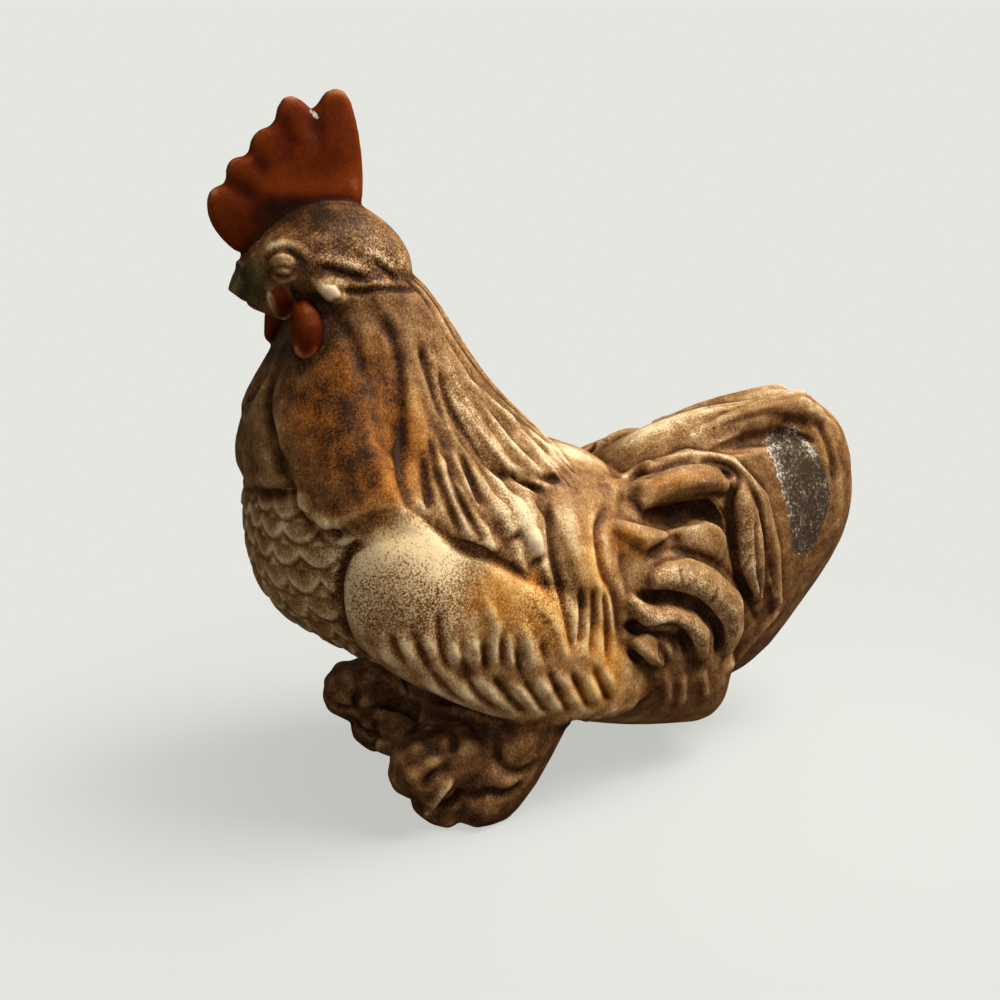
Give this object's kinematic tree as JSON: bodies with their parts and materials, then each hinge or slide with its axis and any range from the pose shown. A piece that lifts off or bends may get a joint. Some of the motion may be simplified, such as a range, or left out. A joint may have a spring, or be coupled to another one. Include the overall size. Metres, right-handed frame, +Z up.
{
  "type": "rooster figurine",
  "caption": "Free-standing ceramic rooster with single comb, wattles, hackle cape, folded wings, curled tail feathers and feathered feet, under an antiqued glaze.",
  "frame": {"origin": "on the table under the middle of the figure's box", "axes": "the rooster faces -X, its left side is towards -Y, and +Z is up"},
  "size_m": [0.2912, 0.129, 0.2805],
  "materials": {
    "brown_glaze": "antiqued brown glaze, darker in the recesses, glossy",
    "cream_glaze": "cream glaze wiped back over brown, glossy",
    "ochre_glaze": "ochre and cream speckled glaze, glossy",
    "dark_glaze": "dark brown glaze, glossy",
    "red_glaze": "brick red glaze, satin to glossy"
  },
  "bodies": {
    "root": {"body": "brown_glaze", "neck": "brown_glaze", "tail": "brown_glaze", "head": "cream_glaze", "left_ear_lobe": "cream_glaze", "right_ear_lobe": "cream_glaze", "left_sickles": "cream_glaze", "right_sickles": "cream_glaze", "left_wing": "ochre_glaze", "right_wing": "ochre_glaze", "saddle": "ochre_glaze", "beak": "dark_glaze", "left_foot": "dark_glaze", "right_foot": "dark_glaze", "comb": "red_glaze", "left_wattle": "red_glaze", "right_wattle": "red_glaze"}
  },
  "joints": []
}
